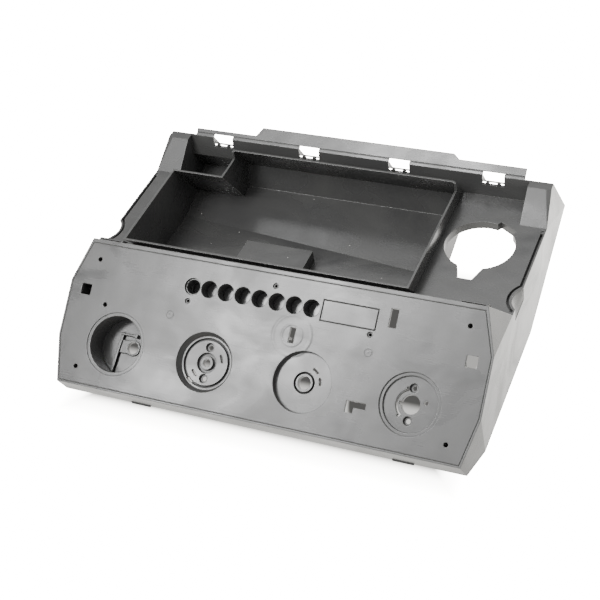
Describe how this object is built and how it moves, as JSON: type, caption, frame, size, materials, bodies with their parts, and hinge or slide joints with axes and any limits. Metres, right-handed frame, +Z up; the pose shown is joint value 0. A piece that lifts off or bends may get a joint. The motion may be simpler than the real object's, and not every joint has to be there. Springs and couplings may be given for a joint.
{
  "type": "injection moulded plastic housing",
  "caption": "Top cover of a countertop appliance, moulded in one piece: sloped control panel with knob wells, deck with sunken storage tray, filler opening and rear hinge rail.",
  "frame": {"origin": "middle of the footprint, on the table", "axes": "+X along the control panel to the right as seen from the front, +Y to the rear, +Z up"},
  "size_m": [0.387, 0.3012, 0.1016],
  "materials": {
    "housing": "fine satin moulded surface"
  },
  "bodies": {
    "root": {"housing": "housing"}
  },
  "joints": []
}
